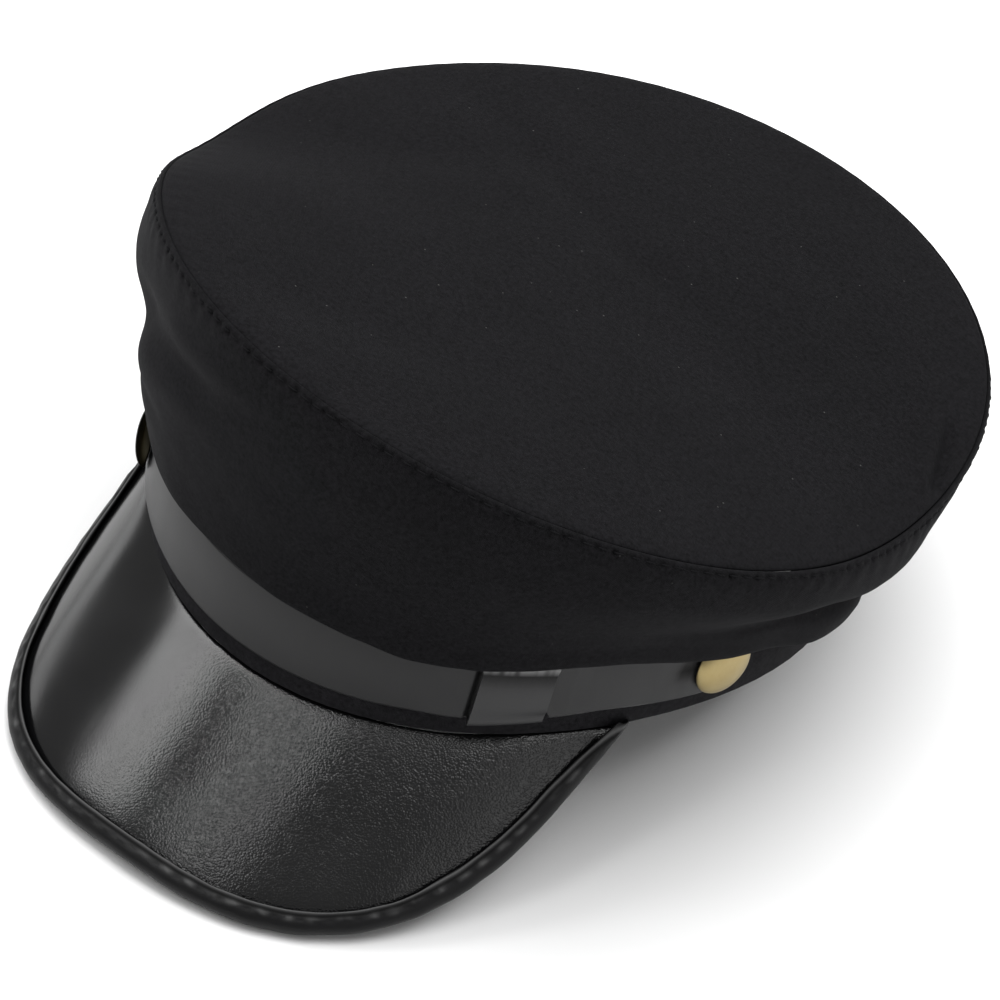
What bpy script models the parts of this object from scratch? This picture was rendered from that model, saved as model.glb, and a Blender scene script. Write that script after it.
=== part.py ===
# Breton fisherman cap: a black cloth crown and head band, a bent leather peak with a rolled edge, and a strap
# across the front between two brass buttons.
#
# The cap is modelled upright in its own frame: the head's axis is Z, the front is -Y, the wearer's left is +X, and
# heights are measured from the middle of the head band's rim. All pieces hang on one empty, which tips the cap back
# until the peak's corners and the back of the rim both touch the floor, as a cap rests when it is put down.
# Lengths are in metres, angles in degrees, and directions turn from the front towards the wearer's left.

import math
from collections import namedtuple

import bmesh
import bpy
from mathutils import Matrix, Vector

# Walls and the small gap between sewn pieces
GAP = 0.0003
CLOTH_WALL = 0.0012
BAND_WALL = 0.0020
LEATHER_WALL = 0.0016

# Head band: an oval of 57 cm round the inside
BAND_HALF_WIDTH = 0.0849
BAND_HALF_LENGTH = 0.0981
BAND_HEIGHT = 0.0300
RIM_DIP = 0.0067
RIM_ROUNDING = 0.0006
REAR_FLATTENING = 0.0009

# Top disc: an oval that leans a little to the wearer's left
TOP_HALF_WIDTH = 0.1012
TOP_HALF_LENGTH = 0.1246
TOP_SKEW = 0.0032
TOP_PINCH = 0.0019
TOP_SHIFT_LEFT = 0.0018
TOP_SHIFT_BACK = 0.0043
TOP_DOME = 0.0045
SEAM_GROOVE = 0.0006
SEAM_GROOVE_WIDTH = 0.0025

# Height of the top seam over the middle of the rim
SEAM_HEIGHT_FRONT = 0.0836
SEAM_HEIGHT_BACK = 0.0755
SEAM_HEIGHT_LEFT = 0.0549
SEAM_HEIGHT_RIGHT = 0.0754

# Side panel: the shoulder beside the top seam, the swell of its upper half, and the fold that hangs over the strap.
# Places are shares of the way from the shoulder to the hem.
SHOULDER = 0.0040
SHOULDER_DROP = 0.0034
SHOULDER_START_OUT = 0.62
SHOULDER_START_DOWN = 0.10
SIDE_SWELL = 0.0060
SWELL_PLACE = 0.36
WAIST_PLACE = 0.70
HEM_REACH = 0.0100
HEM_DEPTH = 0.0070
HEM_ROUNDING = 0.0024
UNDERSIDE_REACH = 0.0052
UNDERSIDE_RISE = 0.45
FOLD_DEPTH = 0.0050
DENT_DEPTH = 0.0025
DENT_FADE = 6

# Peak and its rolled edge. The last five are shares: of the room beside the band that the edge wraps over, of its
# wall at the arms' ends, of its wrap where the wall is full, and of its lip and half thickness where it rounds.
PEAK_THICKNESS = 0.0024
PEAK_HALF_WIDTH = 0.0723
PEAK_LEAN_RIGHT = 0.0005
PEAK_DEPTH = 0.0506
PEAK_SLOPE = 47.0
PEAK_SQUARENESS = 2.42
PEAK_END_ANGLE = 89.0
BINDING_WRAP = 0.0044
BINDING_WALL = 0.0012
BINDING_LIP = 0.0022
BINDING_ROOM_SHARE = 0.7
BINDING_ARM_END_WALL = 0.7
BINDING_ARM_FULL = 0.75
BINDING_ROLL_OUT = 0.75
BINDING_ROLL_UP = 0.72

# Strap, keeper loop and buttons
STRAP_HEIGHT = 0.0180
STRAP_ABOVE_RIM = 0.0065
STRAP_SOFT_EDGE = 0.0005
STRAP_END_SPREAD = 14.0
LOOP_DIRECTION = 40.5
LOOP_WIDTH = 0.0165
LOOP_WALL = 0.0011
LOOP_PLAY_ABOVE = 0.0003
LOOP_PLAY_BELOW = 0.0014
LOOP_RAMP = 10.0
BUTTON_DIRECTION_LEFT = 73.3
BUTTON_DIRECTION_RIGHT = -46.5
BUTTON_ABOVE_RIM = 0.0140
BUTTON_RADIUS = 0.0086
BUTTON_DOME = 0.0036
BUTTON_EDGE = 0.0008
BUTTON_UNDERSIDE_SHARE = 0.96
BUTTON_DOME_SHARE = 0.97
SHANK_RADIUS = 0.0017

# How finely the round shapes are divided
AROUND = 76
TOP_RINGS = (0.16, 0.34, 0.52, 0.70, 0.86)
SIDE_STEPS = 3
PEAK_COLUMNS = 38
PEAK_ROWS = 6
STRAP_STEPS = 44
STRAP_TIP_ANGLES = (80, 60, 40, 20)
LOOP_STEPS = 6
BUTTON_SIDES = 16
BUTTON_DOME_ANGLES = (10, 32, 54, 74, 90)
SHARP_ANGLE = 40

# How the resting tilt is found
STEEPEST_TILT = 30.0
TILT_HALVINGS = 40

STRAP_MIDDLE = STRAP_ABOVE_RIM + STRAP_HEIGHT / 2

# Where the top seam has slumped: how far it drops there, as a share of FOLD_DEPTH
Slump = namedtuple("Slump", "direction spread_round drop")
SEAM_SLUMPS = (
    Slump(-72, 20, 1.30),
    Slump(-150, 36, -0.36),
)

# The side panel's section in each direction. Shoulder, swell and waist are shares of SHOULDER and SIDE_SWELL. Reach
# is a share of HEM_REACH, and low is the fold's lowest point as a share of BAND_HEIGHT.
Section = namedtuple("Section", "direction shoulder swell waist reach low")
SIDE_SECTIONS = (
    Section(-180, 0.45, 0.60, 0.40, 0.90, 0.62),
    Section(-140, 0.45, 0.45, 0.30, 0.85, 0.72),
    Section(-100, 0.45, 0.40, 0.30, 0.80, 0.80),
    Section(-60, 0.48, 0.76, 0.50, 0.84, 0.84),
    Section(-35, 0.55, 0.60, 0.56, 0.70, 0.84),
    Section(-10, 0.50, 0.50, 0.35, 0.62, 0.90),
    Section(12, 0.55, 0.60, 0.45, 0.70, 0.90),
    Section(34, 0.60, 0.60, 0.45, 0.88, 0.81),
    Section(52, 0.65, 0.60, 0.40, 1.00, 0.86),
    Section(74, 0.70, 0.50, 0.15, 1.02, 0.72),
    Section(90, 0.58, 0.40, -0.10, 1.12, 0.49),
    Section(107, 0.52, 0.36, -0.15, 0.74, 0.31),
    Section(130, 0.48, 0.50, 0.20, 0.80, 0.36),
    Section(155, 0.45, 0.50, 0.40, 0.90, 0.50),
)

# Soft folds of the side panel. Place down is a share of the way from the shoulder to the hem, climb is how much of
# that share the fold rises in ten degrees, spread down is such a share too, and depth is a share of FOLD_DEPTH, less
# than nought where the cloth stands out.
Fold = namedtuple("Fold", "direction place_down climb spread_round spread_down depth")
SIDE_FOLDS = (
    Fold(-40, 0.54, 0.20, 16, 0.11, 1.05),
    Fold(-78, 0.48, 0.00, 26, 0.10, 0.60),
    Fold(92, 0.66, 0.00, 26, 0.10, 0.85),
    Fold(66, 0.78, 0.00, 18, 0.08, 0.30),
    Fold(112, 0.16, 0.00, 7, 0.16, 0.45),
    Fold(128, 0.55, 0.03, 24, 0.10, 0.40),
    Fold(168, 0.60, -0.04, 30, 0.12, 0.50),
    Fold(-150, 0.45, 0.05, 25, 0.12, 0.35),
    Fold(-112, 0.68, -0.03, 22, 0.09, 0.40),
)

# Broad dents of the top disc. Places are shares of its half width and half length, reach of its half width, and
# depth of DENT_DEPTH.
Dent = namedtuple("Dent", "left back reach depth")
TOP_DENTS = (
    Dent(-0.45, 0.05, 0.42, 0.55),
    Dent(0.38, 0.10, 0.36, 0.60),
    Dent(0.05, -0.52, 0.34, 0.45),
    Dent(0.10, 0.60, 0.38, -0.50),
)


def clear_scene():
    for thing in list(bpy.data.objects):
        bpy.data.objects.remove(thing, do_unlink=True)


def make_material(name, colour, roughness, metallic=0.0):
    material = bpy.data.materials.new(name)
    material.use_nodes = True
    shader = material.node_tree.nodes["Principled BSDF"]
    shader.inputs["Base Color"].default_value = (*colour, 1.0)
    shader.inputs["Roughness"].default_value = roughness
    shader.inputs["Metallic"].default_value = metallic
    return material


def make_object(name, points, faces, material, parent):
    mesh = bpy.data.meshes.new(name)
    mesh.from_pydata([tuple(point) for point in points], [], faces)
    work = bmesh.new()
    work.from_mesh(mesh)
    bmesh.ops.recalc_face_normals(work, faces=work.faces)
    work.to_mesh(mesh)
    work.free()
    mesh.shade_smooth()
    mesh.set_sharp_from_angle(angle=math.radians(SHARP_ANGLE))
    mesh.materials.append(material)
    thing = bpy.data.objects.new(name, mesh)
    thing.parent = parent
    bpy.context.scene.collection.objects.link(thing)
    return thing


def ring_faces(rings, points_each, close_rings, close_points):
    """Quads between rings of equally many points."""
    faces = []
    ring_steps = rings if close_rings else rings - 1
    point_steps = points_each if close_points else points_each - 1
    for ring in range(ring_steps):
        here = ring * points_each
        there = (ring + 1) % rings * points_each
        for point in range(point_steps):
            after = (point + 1) % points_each
            faces.append((here + point, there + point, there + after, here + after))
    return faces


def smooth_curve(points, steps):
    """Points on a curve that passes through the given ones, with so many steps between two of them."""
    padded = [2 * points[0] - points[1]] + points + [2 * points[-1] - points[-2]]
    curve = []
    for before, start, end, after in zip(padded, padded[1:], padded[2:], padded[3:]):
        for step in range(steps):
            t = step / steps
            curve.append(0.5 * (2 * start + (end - before) * t
                                + (2 * before - 5 * start + 4 * end - after) * t ** 2
                                + (3 * start - before - 3 * end + after) * t ** 3))
    curve.append(points[-1])
    return curve


def turned_apart(direction, other):
    """Degrees between two directions, the short way round."""
    return (direction - other + 180) % 360 - 180


def look_up(rows, direction, column):
    """A column of a table by direction, eased between its rows and joined at the back."""
    directions = [row.direction for row in rows]
    after = next((i for i, at in enumerate(directions) if at > direction), 0)
    before = after - 1
    start = directions[before]
    width = (directions[after] - start) % 360
    share = (direction - start) % 360 / width
    eased = share * share * (3 - 2 * share)
    return getattr(rows[before], column) * (1 - eased) + getattr(rows[after], column) * eased


def bell(distance, spread):
    return math.exp(-(distance / spread) ** 2)


def rim_height(direction):
    """The rim dips at the front and back and rises at the sides."""
    return -RIM_DIP * math.cos(2 * math.radians(direction))


def band_normal(direction):
    angle = math.radians(direction)
    return Vector((math.sin(angle) / BAND_HALF_WIDTH, -math.cos(angle) / BAND_HALF_LENGTH, 0)).normalized()


def band_point(direction, out, height):
    """A point so far out from the band's outer face and so high over its rim."""
    angle = math.radians(direction)
    face = Vector((BAND_HALF_WIDTH * math.sin(angle), -BAND_HALF_LENGTH * math.cos(angle), 0))
    return face + band_normal(direction) * out + Vector((0, 0, rim_height(direction) + height))


def seam_height(direction, share=1.0):
    """Height of the top disc's edge, or of its flat cloth at a share of the way out from its middle."""
    angle = math.radians(direction)
    length_sum = SEAM_HEIGHT_FRONT + SEAM_HEIGHT_BACK
    width_sum = SEAM_HEIGHT_LEFT + SEAM_HEIGHT_RIGHT
    lean = (math.cos(angle) * (SEAM_HEIGHT_FRONT - SEAM_HEIGHT_BACK)
            + math.sin(angle) * (SEAM_HEIGHT_LEFT - SEAM_HEIGHT_RIGHT)) / 2
    saddle = math.cos(2 * angle) * (length_sum - width_sum) / 4
    slump = sum(row.drop * bell(turned_apart(direction, row.direction), row.spread_round) for row in SEAM_SLUMPS)
    return (length_sum + width_sum) / 4 + share * lean + share ** 2 * saddle - share ** 4 * slump * FOLD_DEPTH


def seam_point(direction, share=1.0):
    """A point of the top seam, or of the disc at a share of the way out from its middle."""
    angle = math.radians(direction)
    mean = (TOP_HALF_LENGTH + TOP_HALF_WIDTH) / 2
    oval = (TOP_HALF_LENGTH - TOP_HALF_WIDTH) / 2
    radius = (mean + oval * math.cos(2 * angle) + TOP_SKEW * math.sin(2 * angle)
              + TOP_PINCH * math.sin(3 * angle)) * share
    return Vector((TOP_SHIFT_LEFT + radius * math.sin(angle), TOP_SHIFT_BACK - radius * math.cos(angle),
                   seam_height(direction, share)))


def seam_normal(direction):
    """Level direction straight out from the top seam."""
    along = seam_point(direction + 1) - seam_point(direction - 1)
    return Vector((along.y, -along.x, 0)).normalized()


def build_crown_top(material, parent):
    edge = TOP_HALF_WIDTH
    shares = [*TOP_RINGS, 1 - SEAM_GROOVE_WIDTH / edge, 1 - GAP / 2 / edge]
    points = []
    for share in shares:
        for step in range(AROUND):
            direction = step * 360 / AROUND
            point = seam_point(direction, share)
            point.z += TOP_DOME * (1 - share ** 2) + top_dent(point, share)
            if share < shares[-1]:
                point.z += SEAM_GROOVE
            points.append(point)
    faces = ring_faces(len(shares), AROUND, False, True)
    middle = seam_point(0, 0.0)
    middle.z += TOP_DOME + top_dent(middle, 0.0) + SEAM_GROOVE
    points.append(middle)
    for step in range(AROUND):
        faces.append((len(points) - 1, step, (step + 1) % AROUND))
    crown_top = make_object("crown_top", points, faces, material, parent)
    face_outward(crown_top)
    add_wall(crown_top, CLOTH_WALL)
    return crown_top


def top_dent(point, share):
    """How far the top disc is pushed down at a place, which fades out at its seam."""
    push = 0.0
    for dent in TOP_DENTS:
        left = point.x - TOP_SHIFT_LEFT - dent.left * TOP_HALF_WIDTH
        back = point.y - TOP_SHIFT_BACK - dent.back * TOP_HALF_LENGTH
        push -= dent.depth * DENT_DEPTH * bell(math.hypot(left, back), dent.reach * TOP_HALF_WIDTH)
    return push * (1 - share ** DENT_FADE)


def face_outward(sheet):
    """Turn a sheet whose first face looks up, so that its wall goes to the inside of the cap."""
    if sheet.data.polygons[0].normal.z < 0:
        sheet.data.flip_normals()


def add_wall(thing, thickness):
    """Thicken a sheet inwards."""
    wall = thing.modifiers.new("wall", 'SOLIDIFY')
    wall.thickness = thickness
    wall.offset = -1.0
    wall.use_even_offset = True


def fold_push(direction, down):
    """How deep the side panel's folds go in one direction at a share of the way down, as a share of FOLD_DEPTH."""
    push = 0.0
    for fold in SIDE_FOLDS:
        turned = turned_apart(direction, fold.direction)
        place_down = fold.place_down - fold.climb * turned / 10
        push += fold.depth * bell(turned, fold.spread_round) * bell(down - place_down, fold.spread_down)
    return push


def side_section(direction):
    """The side panel's outer face in one direction, from the top seam down to the hem and in over the band."""
    row = {name: look_up(SIDE_SECTIONS, direction, name) for name in Section._fields[1:]}
    out = seam_normal(direction)
    seam = seam_point(direction)
    shoulder = row["shoulder"] * SHOULDER
    reach = row["reach"] * HEM_REACH
    low = row["low"] * BAND_HEIGHT
    hem = band_point(direction, reach, low + HEM_DEPTH)
    turn = seam + out * shoulder - Vector((0, 0, SHOULDER_DROP))
    swell = turn.lerp(hem, SWELL_PLACE) + out * (row["swell"] * SIDE_SWELL)
    waist = turn.lerp(hem, WAIST_PLACE) + out * (row["waist"] * SIDE_SWELL)
    wall = smooth_curve([turn, swell, waist, hem], SIDE_STEPS)
    for number, point in enumerate(wall):
        down = number / (len(wall) - 1)
        wall[number] = point - out * (fold_push(direction, down) * FOLD_DEPTH)
    start = [seam + out * (GAP / 2),
             seam + out * (shoulder * SHOULDER_START_OUT) - Vector((0, 0, SHOULDER_DROP * SHOULDER_START_DOWN))]
    under = min(UNDERSIDE_REACH, reach / 2)
    bottom = band_point(direction, reach - HEM_ROUNDING, low)
    inner = band_point(direction, under, low + (BAND_HEIGHT - low) * UNDERSIDE_RISE)
    seat = BAND_HEIGHT + GAP
    finish = [bottom, inner, band_point(direction, 2 * GAP, seat), band_point(direction, -BAND_WALL, seat)]
    return start + wall + finish


def build_crown_side(material, parent):
    sections = [side_section(step * 360 / AROUND - 180) for step in range(AROUND)]
    points = [point for section in sections for point in section]
    faces = ring_faces(AROUND, len(sections[0]), True, False)
    crown_side = make_object("crown_side", points, faces, material, parent)
    face_outward(crown_side)
    add_wall(crown_side, CLOTH_WALL)
    return crown_side


def build_head_band(material, parent):
    soft = RIM_ROUNDING
    section = [(-soft, 0), (0, soft), (0, BAND_HEIGHT - soft), (-soft, BAND_HEIGHT),
               (soft - BAND_WALL, BAND_HEIGHT), (-BAND_WALL, BAND_HEIGHT - soft), (-BAND_WALL, soft),
               (soft - BAND_WALL, 0)]
    points = [band_point(step * 360 / AROUND, out, height) for step in range(AROUND) for out, height in section]
    faces = ring_faces(AROUND, len(section), True, True)
    return make_object("head_band", points, faces, material, parent)


def rim_direction(across):
    """Direction of the front rim's point that lies so far to the left."""
    return math.degrees(math.asin(across / BAND_HALF_WIDTH))


def peak_edge(number):
    """One of the peak's straight lines, from the rim to its outer edge: where it starts and how far it goes."""
    angle = math.radians((2 * number / PEAK_COLUMNS - 1) * PEAK_END_ANGLE)
    power = 2 / PEAK_SQUARENESS
    across = (PEAK_HALF_WIDTH * math.copysign(abs(math.sin(angle)) ** power, angle)
              - PEAK_LEAN_RIGHT * math.cos(angle))
    side_y = band_point(rim_direction(PEAK_HALF_WIDTH), 0, 0).y
    front_y = -BAND_HALF_LENGTH - PEAK_DEPTH * math.cos(math.radians(PEAK_SLOPE))
    edge_y = side_y + (front_y - side_y) * math.cos(angle) ** power
    direction = rim_direction(across)
    return direction, band_point(direction, 0, -GAP).y - edge_y


def peak_point(direction, forward):
    """A point of the peak's upper face, so far forward of the rim on the line that starts in that direction."""
    fall = math.tan(math.radians(PEAK_SLOPE)) * forward
    return band_point(direction, 0, -GAP) - Vector((0, forward, fall))


def build_peak(material, parent):
    points = []
    for number in range(PEAK_COLUMNS + 1):
        direction, reach = peak_edge(number)
        points.append(band_point(direction, -BAND_WALL, -GAP))
        points.extend(peak_point(direction, reach * row / PEAK_ROWS) for row in range(PEAK_ROWS + 1))
    faces = ring_faces(PEAK_COLUMNS + 1, PEAK_ROWS + 2, False, False)
    peak = make_object("peak", points, faces, material, parent)
    face_outward(peak)
    add_wall(peak, PEAK_THICKNESS)
    return peak


def binding_section(wrap):
    """The rolled edge cut across: outwards from the peak's edge, and up from the middle of its thickness."""
    slot = PEAK_THICKNESS / 2 + GAP
    outside = slot + BINDING_WALL
    arm_end = slot + BINDING_WALL * BINDING_ARM_END_WALL
    arm_full = -wrap * BINDING_ARM_FULL
    roll_out = BINDING_LIP * BINDING_ROLL_OUT
    roll_up = outside * BINDING_ROLL_UP
    return [(-wrap, arm_end), (arm_full, outside), (0, outside), (roll_out, roll_up), (BINDING_LIP, 0),
            (roll_out, -roll_up), (0, -outside), (arm_full, -outside), (-wrap, -arm_end), (-wrap, -slot),
            (GAP, -slot), (GAP, slot), (-wrap, slot)]


def peak_height(x, y):
    """Height of the peak's upper face above a place in plan."""
    start = band_point(rim_direction(x), 0, -GAP)
    return start.z - math.tan(math.radians(PEAK_SLOPE)) * (start.y - y)


def peak_surface(x, y):
    """A point of the peak's upper face above a place in plan, and the face's upward direction there."""
    step = 0.0001
    slope_x = (peak_height(x + step, y) - peak_height(x - step, y)) / (2 * step)
    slope_y = math.tan(math.radians(PEAK_SLOPE))
    return Vector((x, y, peak_height(x, y))), Vector((-slope_x, -slope_y, 1)).normalized()


def build_peak_binding(material, parent):
    edge = [peak_point(*peak_edge(number)) for number in range(PEAK_COLUMNS + 1)]
    points = []
    for number, place in enumerate(edge):
        along = (edge[min(number + 1, PEAK_COLUMNS)] - edge[max(number - 1, 0)]).normalized()
        out = along.cross(peak_surface(place.x, place.y)[1]).normalized()
        if out.x * place.x + out.y * place.y < 0:
            out.negate()
        room = BINDING_WRAP
        if abs(place.y) < BAND_HALF_LENGTH:
            rim_across = BAND_HALF_WIDTH * math.sqrt(1 - (place.y / BAND_HALF_LENGTH) ** 2)
            room = max(abs(place.x) - rim_across, 0)
        wrap = min(BINDING_WRAP, room * BINDING_ROOM_SHARE + GAP)
        for sideways, upwards in binding_section(wrap):
            inward = min(sideways, 0)
            base, up = peak_surface(place.x + out.x * inward, place.y + out.y * inward)
            points.append(base + out * max(sideways, 0) + up * (upwards - PEAK_THICKNESS / 2))
    count = len(binding_section(BINDING_WRAP))
    faces = ring_faces(PEAK_COLUMNS + 1, count, False, True)
    faces.extend(binding_end_faces(0, count))
    faces.extend(binding_end_faces(PEAK_COLUMNS * count, count))
    return make_object("peak_binding", points, faces, material, parent)


def binding_end_faces(first, count):
    """Close one end of the rolled edge, whose section is a C: an upper arm, a lower arm and the roll between."""
    upper = [0, 1, 2, 11, 12]
    roll = [2, 3, 4, 5, 6, 10, 11]
    lower = [6, 7, 8, 9, 10]
    return [tuple(first + number % count for number in face) for face in (upper, roll, lower)]


def strap_lift(direction):
    """Extra room behind the strap where the keeper loop goes round it."""
    half_loop = math.degrees(LOOP_WIDTH / 2 / band_speed(LOOP_DIRECTION))
    beyond = abs(direction - LOOP_DIRECTION) - half_loop
    share = min(1.0, max(0.0, 1 - beyond / LOOP_RAMP))
    return (LOOP_WALL + GAP) * share * share * (3 - 2 * share)


def band_speed(direction):
    """Length of the band's face for one radian of direction."""
    angle = math.radians(direction)
    return math.hypot(BAND_HALF_WIDTH * math.cos(angle), BAND_HALF_LENGTH * math.sin(angle))


def strap_stations():
    """Directions along the strap with the strap's half height there: full between the buttons, round at the ends."""
    radius = STRAP_HEIGHT / 2 - STRAP_SOFT_EDGE
    stations = []
    for angle in STRAP_TIP_ANGLES:
        tip = math.radians(angle)
        for button, side in ((BUTTON_DIRECTION_RIGHT, -1), (BUTTON_DIRECTION_LEFT, 1)):
            beyond = math.degrees(radius * math.sin(tip) / band_speed(button))
            stations.append((button + side * beyond, radius * math.cos(tip)))
    span = BUTTON_DIRECTION_LEFT - BUTTON_DIRECTION_RIGHT
    for step in range(STRAP_STEPS + 1):
        stations.append((BUTTON_DIRECTION_RIGHT + span * step / STRAP_STEPS, radius))
    return sorted(stations)


def strap_middle(direction):
    """Height of the strap's middle line, which drops to the buttons' centres at its two ends."""
    nearest = min(abs(direction - BUTTON_DIRECTION_LEFT), abs(direction - BUTTON_DIRECTION_RIGHT))
    if not BUTTON_DIRECTION_RIGHT < direction < BUTTON_DIRECTION_LEFT:
        nearest = 0
    return STRAP_MIDDLE + (BUTTON_ABOVE_RIM - STRAP_MIDDLE) * bell(nearest, STRAP_END_SPREAD)


def build_strap(material, parent):
    stations = strap_stations()
    soft = STRAP_SOFT_EDGE
    points = []
    for direction, half in stations:
        back = GAP + strap_lift(direction)
        front = back + LEATHER_WALL
        middle = strap_middle(direction)
        section = [(back, -half), (back, half), (front - soft, half), (front, half - soft), (front, soft - half),
                   (front - soft, -half)]
        points.extend(band_point(direction, out, middle + up) for out, up in section)
    count = 6
    faces = ring_faces(len(stations), count, False, True)
    faces.append(tuple(range(count)))
    faces.append(tuple(range(len(points) - count, len(points))))
    strap = make_object("strap", points, faces, material, parent)
    for direction in (BUTTON_DIRECTION_LEFT, BUTTON_DIRECTION_RIGHT):
        cut_shank_hole(strap, direction, parent)
    return strap


def cut_shank_hole(strap, direction, parent):
    bpy.ops.mesh.primitive_cylinder_add(vertices=BUTTON_SIDES, radius=SHANK_RADIUS + GAP, depth=4 * LEATHER_WALL)
    cutter = bpy.context.object
    cutter.name = "shank_hole_cutter"
    place = band_point(direction, GAP + LEATHER_WALL / 2, BUTTON_ABOVE_RIM)
    turn = band_normal(direction).to_track_quat('Z', 'Y').to_matrix().to_4x4()
    cutter.data.transform(Matrix.Translation(place) @ turn)
    cutter.parent = parent
    cutter.hide_render = True
    cutter.display_type = 'WIRE'
    hole = strap.modifiers.new("shank hole", 'BOOLEAN')
    hole.object = cutter
    hole.operation = 'DIFFERENCE'
    hole.solver = 'EXACT'


def loop_section(grow):
    """The keeper loop's inner opening, or its outside when grown by its wall, as out and up from the strap."""
    back = GAP + LOOP_WALL - grow
    front = GAP + LOOP_WALL + 2 * GAP + LEATHER_WALL + grow
    top = STRAP_HEIGHT / 2 + LOOP_PLAY_ABOVE + grow
    bottom = -STRAP_HEIGHT / 2 - LOOP_PLAY_BELOW - grow
    soft = LOOP_WALL / 3
    return [(back + soft, bottom), (back, bottom + soft), (back, top - soft), (back + soft, top),
            (front - soft, top), (front, top - soft), (front, bottom + soft), (front - soft, bottom)]


def build_strap_loop(material, parent):
    half_turn = math.degrees(LOOP_WIDTH / 2 / band_speed(LOOP_DIRECTION))
    points = []
    for step in range(LOOP_STEPS + 1):
        direction = LOOP_DIRECTION + half_turn * (2 * step / LOOP_STEPS - 1)
        for grow in (LOOP_WALL, 0.0):
            points.extend(band_point(direction, out, STRAP_MIDDLE + up) for out, up in loop_section(grow))
    count = len(loop_section(0.0))
    faces = []
    for step in range(LOOP_STEPS):
        for first in (step * 2 * count, step * 2 * count + count):
            for number in range(count):
                after = (number + 1) % count
                faces.append((first + number, first + after, first + after + 2 * count,
                              first + number + 2 * count))
    for first in (0, LOOP_STEPS * 2 * count):
        for number in range(count):
            after = (number + 1) % count
            faces.append((first + number, first + after, first + after + count, first + number + count))
    return make_object("strap_loop", points, faces, material, parent)


def build_button(name, direction, material, parent):
    under = LEATHER_WALL + GAP
    top = under + BUTTON_EDGE
    profile = [(0, 0), (SHANK_RADIUS, 0), (SHANK_RADIUS, under), (BUTTON_RADIUS * BUTTON_UNDERSIDE_SHARE, under),
               (BUTTON_RADIUS, under + BUTTON_EDGE / 2)]
    for angle in BUTTON_DOME_ANGLES:
        rise = math.radians(angle)
        profile.append((BUTTON_RADIUS * BUTTON_DOME_SHARE * math.cos(rise),
                        top + (BUTTON_DOME - BUTTON_EDGE) * math.sin(rise)))
    profile[-1] = (0, profile[-1][1])
    work = bmesh.new()
    corners = [work.verts.new((radius, 0, height)) for radius, height in profile]
    edges = [work.edges.new(pair) for pair in zip(corners, corners[1:])]
    bmesh.ops.spin(work, geom=corners + edges, cent=(0, 0, 0), axis=(0, 0, 1), angle=math.tau,
                   steps=BUTTON_SIDES, use_merge=True)
    bmesh.ops.remove_doubles(work, verts=work.verts, dist=0.00001)
    points = [vertex.co.copy() for vertex in work.verts]
    work.verts.index_update()
    faces = [tuple(vertex.index for vertex in face.verts) for face in work.faces]
    work.free()
    turn = band_normal(direction).to_track_quat('Z', 'Y').to_matrix()
    place = band_point(direction, GAP, BUTTON_ABOVE_RIM)
    return make_object(name, [place + turn @ point for point in points], faces, material, parent)


def lowest(things, turn):
    return min((turn @ vertex.co).z for thing in things for vertex in thing.data.vertices)


def rest_on_floor(holder, head_band, peak_binding, everything):
    """Tip the cap back until the peak's edge and the back of the rim touch the floor, and centre it."""
    low, high = 0.0, STEEPEST_TILT
    for _ in range(TILT_HALVINGS):
        tilt = (low + high) / 2
        turn = Matrix.Rotation(-math.radians(tilt), 3, 'X')
        if lowest([head_band], turn) + REAR_FLATTENING > lowest([peak_binding], turn):
            low = tilt
        else:
            high = tilt
    floor = lowest([peak_binding], turn)
    up = turn.transposed() @ Vector((0, 0, 1))
    for vertex in head_band.data.vertices:
        sunk = floor - (turn @ vertex.co).z
        if sunk > 0:
            vertex.co += up * sunk
    corners = [turn @ vertex.co for thing in everything for vertex in thing.data.vertices]
    middle_x = (min(point.x for point in corners) + max(point.x for point in corners)) / 2
    middle_y = (min(point.y for point in corners) + max(point.y for point in corners)) / 2
    holder.location = (-middle_x, -middle_y, -floor)
    holder.rotation_euler = (-math.radians(tilt), 0, 0)


def build():
    clear_scene()
    holder = bpy.data.objects.new("resting_cap", None)
    bpy.context.scene.collection.objects.link(holder)
    top_cloth = make_material("top_cloth", (0.018, 0.018, 0.020), 0.85)
    side_cloth = make_material("side_cloth", (0.014, 0.014, 0.016), 0.85)
    band_cloth = make_material("band_cloth", (0.014, 0.014, 0.016), 0.85)
    peak_leather = make_material("peak_leather", (0.020, 0.020, 0.021), 0.32)
    edge_leather = make_material("edge_leather", (0.016, 0.016, 0.017), 0.42)
    strap_leather = make_material("strap_leather", (0.034, 0.034, 0.036), 0.48)
    loop_leather = make_material("loop_leather", (0.034, 0.034, 0.036), 0.48)
    brass_left = make_material("brass_left", (0.45, 0.36, 0.19), 0.38, 1.0)
    brass_right = make_material("brass_right", (0.45, 0.36, 0.19), 0.38, 1.0)

    crown_top = build_crown_top(top_cloth, holder)
    crown_side = build_crown_side(side_cloth, holder)
    head_band = build_head_band(band_cloth, holder)
    peak = build_peak(peak_leather, holder)
    peak_binding = build_peak_binding(edge_leather, holder)
    strap = build_strap(strap_leather, holder)
    strap_loop = build_strap_loop(loop_leather, holder)
    left = build_button("button_left", BUTTON_DIRECTION_LEFT, brass_left, holder)
    right = build_button("button_right", BUTTON_DIRECTION_RIGHT, brass_right, holder)
    pieces = [crown_top, crown_side, head_band, peak, peak_binding, strap, strap_loop, left, right]
    rest_on_floor(holder, head_band, peak_binding, pieces)


build()
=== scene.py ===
# %% [markdown]
# A black cloth cap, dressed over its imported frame. The frame gives every piece its place and size in
# metres: the front of the cap faces -Y, the wearer's left is +X, and the cap stands on the floor at height
# nought.

# %% The frame
import math
from collections import namedtuple

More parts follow.
